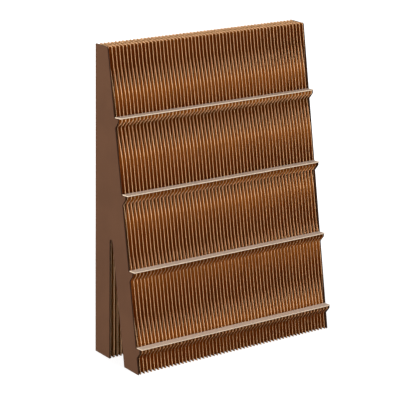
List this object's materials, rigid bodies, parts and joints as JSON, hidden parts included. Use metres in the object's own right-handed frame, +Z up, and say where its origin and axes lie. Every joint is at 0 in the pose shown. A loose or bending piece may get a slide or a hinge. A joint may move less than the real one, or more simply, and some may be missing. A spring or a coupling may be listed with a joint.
{
  "type": "cardboard shelf organizer",
  "caption": "Free-standing shelf organizer of expanded honeycomb cardboard: a sloping front with narrow shelf strips on noses, and an open slot between front and rear feet.",
  "frame": {"origin": "middle of the stand's footprint, on the floor", "axes": "+Z up, -Y towards the sloping front with the shelf strips, +X to the right of a person who faces that front"},
  "size_m": [1.132, 0.3934, 1.5],
  "materials": {
    "panel_board": "matte",
    "core_board": "matte",
    "shelf_board": "matte"
  },
  "bodies": {
    "root": {"left_end_panel": "panel_board", "core_bundle_01": "core_board", "core_bundle_02": "core_board", "core_bundle_03": "core_board", "core_bundle_04": "core_board", "core_bundle_05": "core_board", "core_bundle_06": "core_board", "core_bundle_07": "core_board", "core_bundle_08": "core_board", "core_bundle_09": "core_board", "right_end_panel": "panel_board", "lowest_shelf": "shelf_board", "second_shelf": "shelf_board", "third_shelf": "shelf_board", "top_shelf": "shelf_board"}
  },
  "joints": []
}
